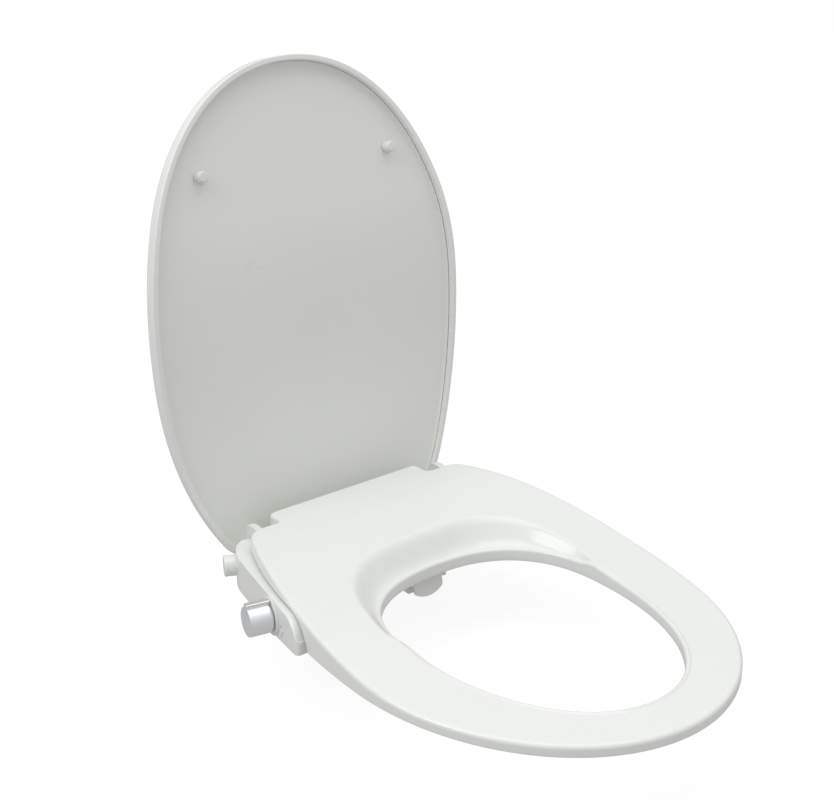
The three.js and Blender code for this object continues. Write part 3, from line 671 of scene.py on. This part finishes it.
# ---------------------------------------------------------------- lid, drawn closed and then turned open
LID_MID = 217.0
LID_BACK = 22.0
LID_RIM = 6.0
LID_EDGE = 6.5
LID_SIDE = 11.0
LID_ROOF = 14.7
LID_CROWN = 18.5
TRAY = 9.0
TRAY_THICK = 2.2
OPEN_LID = Matrix.Translation(HINGE) @ Matrix.Rotation(-LID_OPEN, 4, "X") @ Matrix.Translation(-HINGE)


def lid_lip(u):
    return seat_top(u) + 2.2


def lid_level(y, rise):
    """A height inside the lid, which is thinner towards the hinges."""
    return lid_lip(-y) + rise * (0.68 + 0.32 * smooth((-y - 20) / 170))


def lid_outline():
    side = []
    count = 110
    last = math.radians(149)
    for k in range(count + 1):
        a = last * k / count
        r = egg(a, 187.0, 254.5, 294.0, 2.11, 2.21)
        side.append((r * math.sin(a), -LID_MID - r * math.cos(a)))
    run = (98.0, LID_BACK)
    half = joined(side, corner(side[-1], (119.0, LID_BACK), run, 12), line(run, (0.0, LID_BACK), 20))
    return mirrored(half)


def outer_section(at, towards):
    """The lid's outer shell from its inner middle, round the lip, to the middle of its crown."""
    row = [towards(LID_RIM, t, LID_ROOF) for t in (0.97, 0.7, 0.35, 0.06)]
    row += [at(LID_RIM, LID_ROOF - 0.2), at(LID_RIM, 3.0)]
    for b in quarter_turn(5):
        row.append(at(LID_RIM - 1.5 * (1 - math.cos(b)), 1.5 * (1 - math.sin(b))))
    row.append(at(2.6, 0.0))
    for b in quarter_turn(6)[1:]:
        row.append(at(1.3 * (1 - math.sin(b)), 1.3 * (1 - math.cos(b))))
    row += [at(0, 4.0), at(0, 8.0), at(0, LID_SIDE)]
    for b in quarter_turn(8)[1:]:
        row.append(at(LID_EDGE * (1 - math.cos(b)), LID_SIDE + 6.0 * math.sin(b)))
    for t, rise in ((0.03, 17.25), (0.1, 17.55), (0.3, 18.0), (0.55, 18.25), (0.8, 18.4), (0.97, 18.45)):
        row.append(towards(LID_EDGE, t, rise))
    return row


def panel_section(at, towards):
    """The inner panel from its middle to its turned-down edge, and back along its hidden side."""
    gap = LID_RIM - 0.1
    row = [towards(gap, 0.9 - 0.064 * k, TRAY) for k in range(13)]
    for d, drop in ((6.0, 0.15), (3.4, 0.5), (1.8, 1.1), (0.7, 2.1), (0, 3.4)):
        row.append(at(gap + d, TRAY - drop))
    row.append(at(gap, TRAY + TRAY_THICK))
    row += [towards(gap, t, TRAY + TRAY_THICK) for t in (0.3, 0.6, 0.97)]
    return row


def build_lid():
    outline = lid_outline()
    middle = (0.0, -LID_MID)
    outer_rows, panel_rows = [], []

    def centre(rise):
        return (*middle, lid_level(-LID_MID, rise))

    for i, (x, y) in enumerate(outline):
        nx, ny = inward(outline, i)

        def at(d, rise):
            px, py = x + nx * d, y + ny * d
            return (px, py, lid_level(py, rise))

        def towards(d, t, rise):
            px, py = lerp2((x + nx * d, y + ny * d), middle, t)
            return (px, py, lid_level(py, rise))

        outer_rows.append(outer_section(at, towards))
        panel_rows.append(panel_section(at, towards))

    loop = [(16, 70), (2, 70), (-3, HINGE.z + 12.5), *arc(0, HINGE.z, BARREL, 120, 350, 26),
            (12.5, HINGE.z + 4), (15.5, 50)]
    shell = gathered(outer_rows, centre(LID_ROOF), centre(LID_CROWN))
    verts, faces = merged(shell, *hinge_lugs(loop, 97.2, 114.3, 0.9))
    weigh(make_piece("lid_outer", verts, faces, "lid", "lid_gloss", ["lid_outer"], OPEN_LID))
    verts, faces = gathered(panel_rows, centre(TRAY), centre(TRAY + TRAY_THICK))
    weigh(make_piece("lid_panel", verts, faces, "lid", "lid_inner", ["lid_panel"], OPEN_LID))


def build_lid_bumpers():
    u = 368.0
    low = seat_top(u) + 0.5
    tall = lid_lip(u) + TRAY - 0.6 - low
    profile = rounded_profile([(0, 0), (5.2, 0), (5.8, tall * 0.5), (6.0, tall), (0, tall)], 1.3)
    for side, name in ((-1, "lid_bumper_left"), (1, "lid_bumper_right")):
        make_turned(name, profile, (side * 113.0, -u, low), (0, 0, 1), 48, "lid", "bumper_rubber", OPEN_LID)


# ---------------------------------------------------------------- base: the two arms
ARM_TOP = 41.0
ARM_LOW = 4.9
ARM_RISE = 5
ARM_ROUNDING = 1.8
NOSE = 27.0
NOSE_TIP = -166.0
BEND = -120.0
KNOB = joint_place("knob_turn")
KNOB_WAY = joint_axis("knob_turn")
INLET = Vector((-144.6, -7.5, 23.0))
INLET_WAY = Vector((-0.9, 0.436, 0)).normalized()
UP = Vector((0, 0, 1))


def arm_height(y):
    """Top of an arm: level, with a quarter round in front."""
    if y > NOSE_TIP + NOSE:
        return ARM_TOP
    t = min((NOSE_TIP + NOSE - y) / NOSE, 1)
    return ARM_TOP - NOSE + NOSE * math.sqrt(max(1 - t * t, 0))


def arm_low(y):
    """Lower edge of an arm: level, then rising towards the nose."""
    return ARM_LOW + ARM_RISE * max(BEND - y, 0) / (BEND - NOSE_TIP)


def arm_rows(outer, inner):
    """Sections across an arm, from its outer wall to its hidden inner edge."""
    rows = []
    count = len(outer)
    for i, (x, y) in enumerate(outer):
        before, after = outer[max(i - 1, 0)], outer[min(i + 1, count - 1)]
        way = Vector(after) - Vector(before)
        n = Vector((-way.y, way.x)).normalized()
        if (Vector(inner[i]) - Vector((x, y))).dot(n) < 0:
            n = -n

        def inset(d):
            return (x + n.x * d, y + n.y * d)

        edge = inset(ARM_ROUNDING)
        top = arm_height(edge[1])
        foot = arm_low(y)
        low = max(top - ARM_ROUNDING, foot + 0.7)
        row = [(*inset(0.4), foot), (x, y, foot + 0.4), (x, y, mix(foot + 0.4, low, 0.5))]
        for b in quarter_turn(7):
            row.append((*inset(ARM_ROUNDING * (1 - math.cos(b))), low + (top - low) * math.sin(b)))
        far = inner[i]
        for k in range(1, 9):
            p = lerp2(edge, far, k / 8)
            row.append((*p, arm_height(p[1])))
        row.append((*far, arm_low(far[1])))
        rows.append(row)
    return rows


def control_arm_line():
    """The outer wall of the arm that carries the knob, from the hinge post to the nose."""
    post = (-132.0, 5.5)
    rear = (-156.0, -28.0)
    front = (-184.1, -161.0)
    nose = (-180.5, NOSE_TIP)
    return joined(
        line((-123.6, 5.5), post, 4),
        corner(post, (-148.5, 2.0), rear, 18),
        line(rear, front, 40),
        corner(front, (-185.2, NOSE_TIP), nose, 10),
        line(nose, (-160.0, NOSE_TIP), 10),
    )


def blank_arm_line():
    """The outer wall of the plain arm, which keeps just inside the seat's edge."""
    post = (129.0, 4.6)
    nose = (166.0, NOSE_TIP)
    before_nose = (174.4, -157.0)
    side = []
    for k in range(31):
        u = 26 + 4 * k
        side.append((SEAT_HALF * math.sqrt(1 - ((u - SEAT_MID) / SEAT_REAR) ** 2) - 0.8, -u))
    return joined(
        line((123.6, 4.6), post, 3),
        corner(post, (139.0, -2.0), side[0], 12),
        side,
        line(side[-1], before_nose, 5),
        corner(before_nose, (176.2, NOSE_TIP), nose, 10),
        line(nose, (156.0, NOSE_TIP), 6),
    )


def inner_line(outer, stops):
    """As many points as outer has, spread along a line through stops in the same share of length."""
    def lengths(points):
        total = [0.0]
        for p, q in zip(points, points[1:]):
            total.append(total[-1] + math.dist(p, q))
        return total
    out_len, in_len = lengths(outer), lengths(stops)
    result = []
    for d in out_len:
        want = in_len[-1] * d / out_len[-1]
        k = max(j for j in range(len(stops) - 1) if in_len[j] <= want + 1e-9)
        span = in_len[k + 1] - in_len[k]
        result.append(lerp2(stops[k], stops[k + 1], min((want - in_len[k]) / span, 1)))
    return result


def build_control_arm():
    """The arm with the collar round its inlet, and three plain dots beside the knob."""
    outer = control_arm_line()
    inner = inner_line(outer, [(-123.6, -16.0), (-126.0, -20.0), (-140.0, -120.0), (-152.0, -155.0),
                               (-158.0, -162.0)])
    collar_profile = rounded_profile([(0, -5), (11.6, -5), (11.6, 1.5), (0, 1.5)], 0.8)
    collar = lathe(collar_profile, INLET, INLET_WAY, 56)
    verts, faces = merged(closed_ends(arm_rows(outer, inner), True), collar)
    weigh(make_piece("control_arm_cover", verts, faces, "base", "housing_gloss", ["control_arm_cover"]))
    for k in range(3):
        spot = KNOB + UP.cross(KNOB_WAY) * (23.5 + 3.5 * (k % 2)) + UP * (5 * k - 9)
        dot = lathe([(0, -0.6), (0.9, -0.6), (0.9, 0.75), (0, 0.75)], spot, KNOB_WAY, 20)
        make_piece(f"arm_mark_{k + 1}", *dot, "base", "grey_plastic")


def build_blank_arm():
    outer = blank_arm_line()
    inner = inner_line(outer, [(123.6, -16.0), (126.0, -20.0), (138.0, -120.0), (148.0, -155.0),
                               (154.0, -162.0)])
    verts, faces = closed_ends(arm_rows(outer, inner), False)
    weigh(make_piece("blank_arm_cover", verts, faces, "base", "housing_gloss", ["blank_arm_cover"]))


# ---------------------------------------------------------------- knob and inlet
KNOB_RADIUS = 14.6
KNOB_NEAR = 2.8
KNOB_FAR = 25.5
FIN_HALF = 3.3
FIN_TOP = 18.4
FIN_ROUND = 0.9
COLLAR = 18.5


def build_knob():
    """A round knob with a softly edged face."""
    near, far, r = KNOB_NEAR, KNOB_FAR, KNOB_RADIUS
    bore = [(0, near + 13), (4.3, near + 13), (4.3, near)]
    skirt = [(r - 0.9, near), (r - 0.6, near + 1.2), (r, near + 2.0)]
    profile = rounded_profile([*bore, *skirt, (r, far), (0, far)], 1.1)
    make_turned("knob_body", profile, KNOB, KNOB_WAY, 96, "knob", "satin_silver")

def build_fin():
    """A flat polished fin let in along the knob's top."""
    length = KNOB_FAR - KNOB_NEAR + 0.6
    sunk = KNOB_RADIUS - 1.0
    tall = FIN_TOP - sunk
    x, y = FIN_HALF - FIN_ROUND, tall - FIN_ROUND
    loop = [(-FIN_HALF, tall - 9), (FIN_HALF, tall - 9), *arc(x, y, FIN_ROUND, 0, 90, 5),
            *arc(-x, y, FIN_ROUND, 90, 180, 5)]
    side = Vector((KNOB_WAY.y, -KNOB_WAY.x, 0))
    centre = KNOB + KNOB_WAY * (KNOB_NEAR + length / 2 - 0.1) + UP * sunk
    place = Matrix((
        (side.x, UP.x, KNOB_WAY.x, centre.x),
        (side.y, UP.y, KNOB_WAY.y, centre.y),
        (side.z, UP.z, KNOB_WAY.z, centre.z),
        (0, 0, 0, 1),
    ))
    verts, faces = prism([loop], length, 0.5, place)
    weigh(make_piece("knob_fin", verts, faces, "knob", "polished_silver", ["knob_fin"]))


def build_collar():
    """The fixed ring between the arm and the knob."""
    ring = rounded_profile([(10, 0.3), (COLLAR, 0.3), (COLLAR, 1.3), (COLLAR - 0.8, 2.1), (10, 2.1)], 0.5)
    make_turned("knob_collar", ring, KNOB, KNOB_WAY, 72, "base", "housing_satin")


def build_inlet():
    """The cap over the inlet's thread: a hollow cup with a fine groove round it."""
    r, far, bore = 10.5, 14.3, 8.9
    groove = [(r, 10.2), (r - 0.35, 10.5), (r - 0.35, 10.9), (r, 11.2)]
    outside = rounded_profile([(bore, 1.9), (r, 1.9), *groove, (r, far), (0, far)], 0.9)
    profile = [(0, 13.4), (bore, 13.4), *outside]
    make_turned("inlet_cap", profile, INLET, INLET_WAY, 64, "base", "housing_gloss")


# ---------------------------------------------------------------- nozzle, gate and hoses
NOZZLE_WAY = joint_axis("nozzle_slide")
NOZZLE_UP = Vector((0, NOZZLE_WAY.z, -NOZZLE_WAY.y))
NOZZLE_EXIT = Vector((0, -125, -6))
NOZZLE_RADIUS = 5.6
GATE_HALF = 18.0
GATE_DROP = 19.0
GATE_TILT = -9
GATE_CUT = 0.07


def build_nozzle():
    """The wand with its rear collar, the tip with its groove, and three small outlets on top, drawn as near-black
    discs: painted shade for the inside of the holes.
    """
    r = NOZZLE_RADIUS
    wand = rounded_profile([(0, -123), (8.2, -123), (8.2, -119.5), (r, -119.5), (r, -48.3), (0, -48.3)], 0.6)
    make_turned("nozzle_wand", wand, NOZZLE_EXIT, NOZZLE_WAY, 56, "nozzle", "nozzle_plastic")
    groove = [(r, -46.4), (r - 0.4, -46), (r - 0.4, -45.4), (r, -45)]
    tip = rounded_profile([(0, -48), (r, -48), *groove, (r, -38), (r - 2.0, -36), (0, -36)], 1.4)
    make_turned("nozzle_tip", tip, NOZZLE_EXIT, NOZZLE_WAY, 56, "nozzle", "nozzle_plastic")
    # Each outlet is a near-black disc set into the tip: painted shade in place of the dark inside of a hole.
    for k in range(3):
        spot = NOZZLE_EXIT + NOZZLE_WAY * (-39.5 - 2.1 * k) + NOZZLE_UP * (r - 0.35)
        outlet_shade_disc = lathe([(0, -0.5), (0.55, -0.5), (0.55, 0.42), (0, 0.42)], spot, NOZZLE_UP, 16)
        make_piece(f"nozzle_hole_{k + 1}", *outlet_shade_disc, "nozzle", "black_rubber")


def build_gate():
    """The flap in front of the nozzle: a thin curved-bottomed plate on a barrel."""
    hinge = joint_place("nozzle_gate_hinge")
    half, drop = GATE_HALF, GATE_DROP

    def bottom(t):
        rise = (1 - t) ** 2 * (6 - drop) + 2 * t * (1 - t) * (-drop - 6) + t * t * (6 - drop)
        return (mix(-half, half, t), rise)

    end = 1 - GATE_CUT
    left = corner((-half, 8.4 - drop), bottom(0), bottom(GATE_CUT), 5)
    right = corner(bottom(end), bottom(1), (half, 8.4 - drop), 5)
    between = [bottom(mix(GATE_CUT, end, k / 24)) for k in range(1, 24)]
    loop = [(half, 1.5), (-half, 1.5), *left, *between, *right]
    upright = Matrix(((1, 0, 0, 0), (0, 0, -1, 0), (0, 1, 0, 0), (0, 0, 0, 1)))
    tilt = Matrix.Rotation(math.radians(GATE_TILT), 4, "X")
    plate = prism([loop], 2.4, 0.5, Matrix.Translation((0, hinge.y, hinge.z)) @ tilt @ upright)
    ring = [(1.8, 0), (2.9, 0), (2.9, 2 * half), (1.8, 2 * half)]
    barrel = lathe(ring, (-half, hinge.y, hinge.z), (1, 0, 0), 32)
    weigh(make_piece("nozzle_gate", *merged(plate, barrel), "gate", "gate_plastic", ["nozzle_gate"]))


def build_spring():
    turns, radius = 9, 7.1
    first, last = -118.0, -21.4
    side = Vector((1, 0, 0))
    points = []
    for k in range(turns * 6 + 1):
        t = k / (turns * 6)
        a = 2 * math.pi * turns * t
        away = radius * (math.cos(a) * side + math.sin(a) * NOZZLE_UP)
        points.append(NOZZLE_EXIT + NOZZLE_WAY * mix(first, last, t) + away)
    spring = make_piece("nozzle_spring", *tube(points, 0.55, 8), "base", "steel", ["nozzle_spring"])
    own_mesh(spring)


def build_hoses():
    """One hose from the inlet to the valve, and one from the valve to the nozzle."""
    points = [INLET - INLET_WAY * 9.4, (-131.8, -19, 20.5), (-136, -45, 21), (-149.5, -84, 22),
              (-152.6, -99.5, 22)]
    make_piece("inlet_hose", *tube(points, 3.6), "base", "clear_hose", ["inlet_hose"])
    points = [KNOB - KNOB_WAY * 27.4, KNOB - KNOB_WAY * 33, (-124, -103, 22), (-102, -95, 22),
              (-58, -72, 26), (-30, -32, 28), (-11.6, -24, 24)]
    make_piece("nozzle_hose", *tube(points, 3.4), "base", "clear_hose", ["nozzle_hose"])


def dress_cad_nodes():
    """CAD nodes that stay get their slot's material, rounded edges and even shading."""
    slots = {s["node"]: s["material_slot"] for s in frame["record"]["subparts"]}
    for name, obj in frame["nodes"].items():
        if obj.hide_render:
            continue
        obj.data.materials.clear()
        obj.data.materials.append(MATERIAL[slots[name]])
        obj.data.polygons.foreach_set("use_smooth", [True] * len(obj.data.polygons))
        weld = obj.modifiers.new("weld", "WELD")
        weld.merge_threshold = 0.00002
        flat = obj.modifiers.new("flat_faces", "DECIMATE")
        flat.decimate_type = "DISSOLVE"
        flat.angle_limit = math.radians(2)
        bevelled(obj, 0.6 if name in ("base_pan", "housing_cover") else 0.35)


build_seat()
build_seat_bottom()
build_bumpers()
build_lid()
build_lid_bumpers()
build_control_arm()
build_blank_arm()
build_knob()
build_fin()
build_collar()
build_inlet()
build_nozzle()
build_gate()
build_spring()
build_hoses()
dress_cad_nodes()


# ---------------------------------------------------------------- stage
def build_floor():
    """A pale sheet under the seat, far larger than the view."""
    floor_mesh = bpy.data.meshes.new("floor")
    far, level = 60.0, -0.06
    corners = [(-far, -far, level), (far, -far, level), (far, far, level), (-far, far, level)]
    floor_mesh.from_pydata(corners, [], [(0, 1, 2, 3)])
    floor = bpy.data.objects.new("floor", floor_mesh)
    bpy.context.scene.collection.objects.link(floor)
    floor.visible_diffuse = False
    floor.visible_glossy = False
    paper = bpy.data.materials.new("paper")
    paper.use_nodes = True
    shader = paper.node_tree.nodes["Principled BSDF"]
    shader.inputs["Base Color"].default_value = (0.16, 0.16, 0.16, 1)
    shader.inputs["Roughness"].default_value = 0.9
    shader.inputs["Specular IOR Level"].default_value = 0.0
    shader.inputs["Emission Color"].default_value = (1, 1, 0.995, 1)
    shader.inputs["Emission Strength"].default_value = 0.88
    floor.data.materials.append(paper)


def build_world():
    """Soft studio light from all round, brighter from above."""
    world = bpy.data.worlds.new("studio")
    bpy.context.scene.world = world
    world.use_nodes = True
    nodes, links = world.node_tree.nodes, world.node_tree.links
    place = nodes.new("ShaderNodeTexCoord")
    split = nodes.new("ShaderNodeSeparateXYZ")
    ramp = nodes.new("ShaderNodeValToRGB")
    ramp.color_ramp.elements[0].position = 0.0
    ramp.color_ramp.elements[0].color = (0.58, 0.58, 0.58, 1)
    ramp.color_ramp.elements[1].position = 0.95
    ramp.color_ramp.elements[1].color = (1, 1, 1, 1)
    links.new(place.outputs["Generated"], split.inputs[0])
    links.new(split.outputs["Z"], ramp.inputs["Fac"])
    back = nodes["Background"]
    links.new(ramp.outputs["Color"], back.inputs["Color"])
    back.inputs["Strength"].default_value = 0.9


def build_lights():
    for name, spot, aim, size, power in (
        ("key", (-1.7, 0.1, 2.0), (0, -0.2, 0.1), 1.3, 16),
        ("top", (0.2, -0.3, 2.6), (0, -0.2, 0), 1.8, 12),
    ):
        light = bpy.data.lights.new(name, "AREA")
        light.shape = "SQUARE"
        light.size = size
        light.energy = power
        lamp = bpy.data.objects.new(name, light)
        bpy.context.scene.collection.objects.link(lamp)
        lamp.location = spot
        aim_at(lamp, aim)
    bpy.context.scene.view_settings.view_transform = "Standard"


def aim_at(obj, target):
    obj.rotation_mode = "QUATERNION"
    obj.rotation_quaternion = (Vector(target) - obj.location).to_track_quat("-Z", "Y")


def build_camera():
    camera = bpy.data.cameras.new("camera")
    camera.sensor_width = 36
    camera.lens = 61.15
    camera.shift_x = 0.0102
    camera.shift_y = 0.0005
    camera.clip_start = 0.05
    camera.clip_end = 100
    obj = bpy.data.objects.new("camera", camera)
    bpy.context.scene.collection.objects.link(obj)
    obj.location = (-0.7935, -1.0755, 0.6908)
    aim_at(obj, (0, -0.0956, 0.1884))
    bpy.context.scene.camera = obj


build_floor()
build_world()
build_lights()
build_camera()
